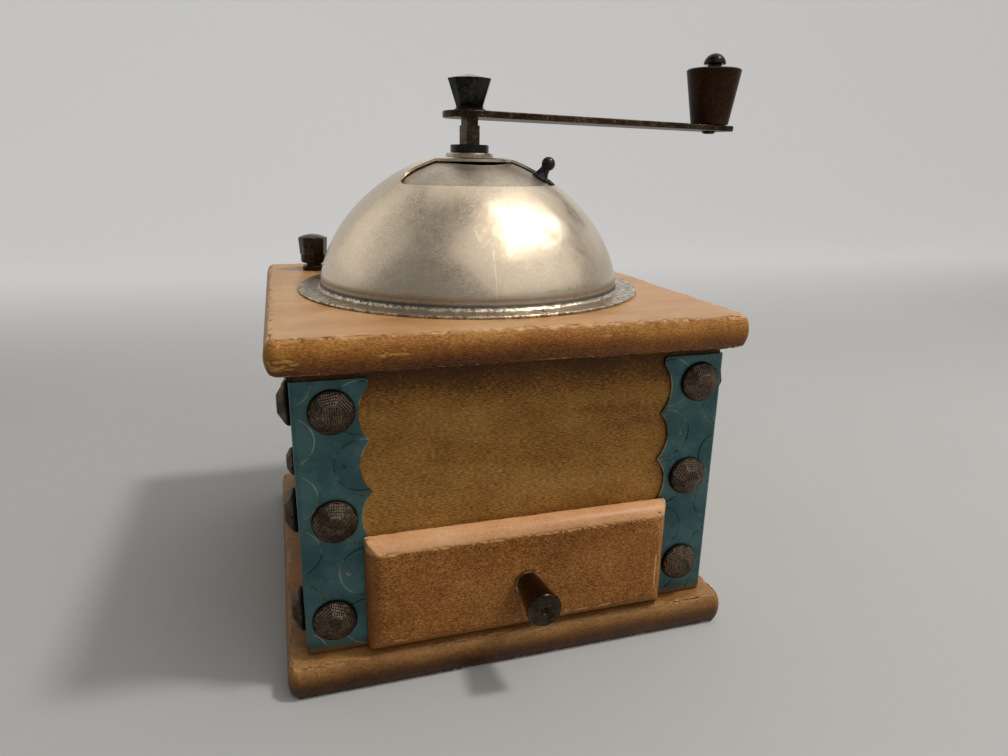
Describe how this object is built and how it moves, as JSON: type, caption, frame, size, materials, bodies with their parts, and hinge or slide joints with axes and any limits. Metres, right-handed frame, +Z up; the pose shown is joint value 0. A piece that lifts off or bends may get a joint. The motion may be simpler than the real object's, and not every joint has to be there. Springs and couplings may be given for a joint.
{
  "type": "manual coffee grinder",
  "caption": "Box coffee mill: wooden body, studded corner plates, nickel dome hopper with turning window door, crank with turned grip, drawer below, conical burrs inside",
  "frame": {"origin": "centre of the base board's underside, on the crank's axis", "axes": "+X to the right seen from the drawer's side, +Y to the back, +Z up along the crank's axis"},
  "size_m": [0.1926, 0.1568, 0.1924],
  "materials": {
    "wood_board": "stained and varnished, worn bright at the arrises",
    "wood_panel": "olive-brown stain, horizontal grain",
    "wood_drawer": "orange-brown stain, satin varnish",
    "wood_inner": "plain unstained",
    "wood_handle": "dark turned, glossy varnish",
    "plate_metal": "satin blue-green sheet with bare cut edges",
    "stud_bronze": "burnished dark bronze, cross-hatched",
    "dome_nickel": "satin nickel, finely scratched",
    "bush_brass": "worn brass",
    "black_metal": "black, semi-gloss",
    "dark_bronze": "burnished dark bronze, glossy",
    "arm_steel": "browned steel with bright flecks",
    "steel": "plain turned steel",
    "cast_iron": "dark cast surface",
    "burr_steel": "hardened steel"
  },
  "bodies": {
    "case": {"base_board": "wood_board", "base_screws": "steel", "top_board": "wood_board", "front_panel": "wood_panel", "back_panel": "wood_panel", "left_panel": "wood_panel", "right_panel": "wood_panel", "drawer_guide_left": "wood_inner", "drawer_guide_right": "wood_inner", "hopper_dome": "dome_nickel", "flange_pins": "black_metal", "top_bush": "bush_brass", "bush_nut": "steel", "bush_retainer": "steel", "corner_ring": "bush_brass", "corner_knob": "dark_bronze", "mill_housing": "cast_iron", "house_screws": "steel", "outer_burr": "burr_steel", "bridge": "cast_iron", "bridge_screws": "steel", "plate_front_left": "plate_metal", "studs_front_left": "stud_bronze", "plate_front_right": "plate_metal", "studs_front_right": "stud_bronze", "plate_back_left": "plate_metal", "studs_back_left": "stud_bronze", "plate_back_right": "plate_metal", "studs_back_right": "stud_bronze"},
    "drawer": {"drawer_front": "wood_drawer", "drawer_left_side": "wood_inner", "drawer_right_side": "wood_inner", "drawer_back": "wood_inner", "drawer_bottom": "wood_inner", "drawer_knob": "dark_bronze", "drawer_knob_screw": "steel"},
    "door": {"hopper_door": "dome_nickel", "door_knob": "black_metal"},
    "carriage": {"thrust_pad": "steel"},
    "adjuster": {"adjusting_screw": "steel"},
    "crank": {"spindle": "steel", "inner_burr": "burr_steel", "thrust_disc": "black_metal", "crank_arm": "arm_steel", "arm_washer": "steel", "cap_nut": "dark_bronze", "handle_pin": "steel"},
    "grip": {"crank_handle": "wood_handle"}
  },
  "joints": [
    {"name": "drawer_slide", "type": "slide", "parent": "case", "child": "drawer", "axis": [0, -1, 0], "range_m": [0, 0.075]},
    {"name": "door_turn", "type": "hinge", "parent": "case", "child": "door", "pos_m": [0, 0, 0.1449], "axis": [0, 0, 1], "range_deg": [-120, 0]},
    {"name": "adjuster_turn", "type": "hinge", "parent": "carriage", "child": "adjuster", "pos_m": [0, 0, 0.042], "axis": [0, 0, 1], "range_deg": [0, 270]},
    {"name": "carriage_lift", "type": "slide", "parent": "case", "child": "carriage", "axis": [0, 0, 1], "range_m": [0, 0.0006]},
    {"name": "crank_turn", "type": "hinge", "parent": "carriage", "child": "crank", "pos_m": [0, 0, 0.1559], "axis": [0, 0, 1], "continuous": true},
    {"name": "grip_spin", "type": "hinge", "parent": "crank", "child": "grip", "pos_m": [0.11108, 0.02976, 0.1759], "axis": [0, 0, 1], "continuous": true}
  ],
  "couplings": [
    {"joint": "adjuster_turn", "follows": "carriage_lift", "rad_per_m": 7853.9}
  ]
}
